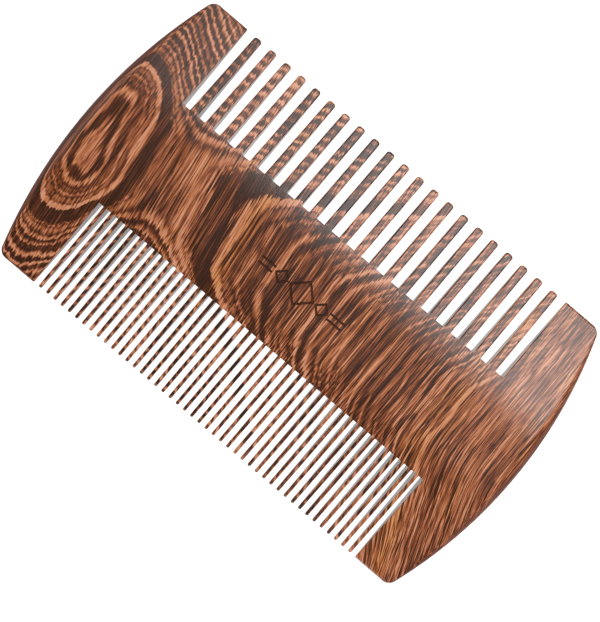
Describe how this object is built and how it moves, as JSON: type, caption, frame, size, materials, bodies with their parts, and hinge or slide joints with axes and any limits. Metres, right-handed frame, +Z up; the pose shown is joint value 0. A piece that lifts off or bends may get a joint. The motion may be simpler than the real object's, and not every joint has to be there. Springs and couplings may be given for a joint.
{
  "type": "beard comb",
  "caption": "Double-sided wooden comb with bowed ends: widely spaced teeth along one edge, closely spaced teeth along the other.",
  "frame": {"origin": "centre of the flat band that the comb rests on, on its lower face", "axes": "+X along the length, +Y towards the coarse teeth, +Z up out of the engraved face"},
  "size_m": [0.1014, 0.0596, 0.0065],
  "materials": {
    "wood": "satin, sanded and oiled, dark brown to orange figured grain along the teeth"
  },
  "bodies": {
    "root": {"spine": "wood", "coarse_teeth": "wood", "fine_teeth": "wood", "left_coarse_guard": "wood", "right_coarse_guard": "wood", "left_fine_guard": "wood", "right_fine_guard": "wood"}
  },
  "joints": []
}
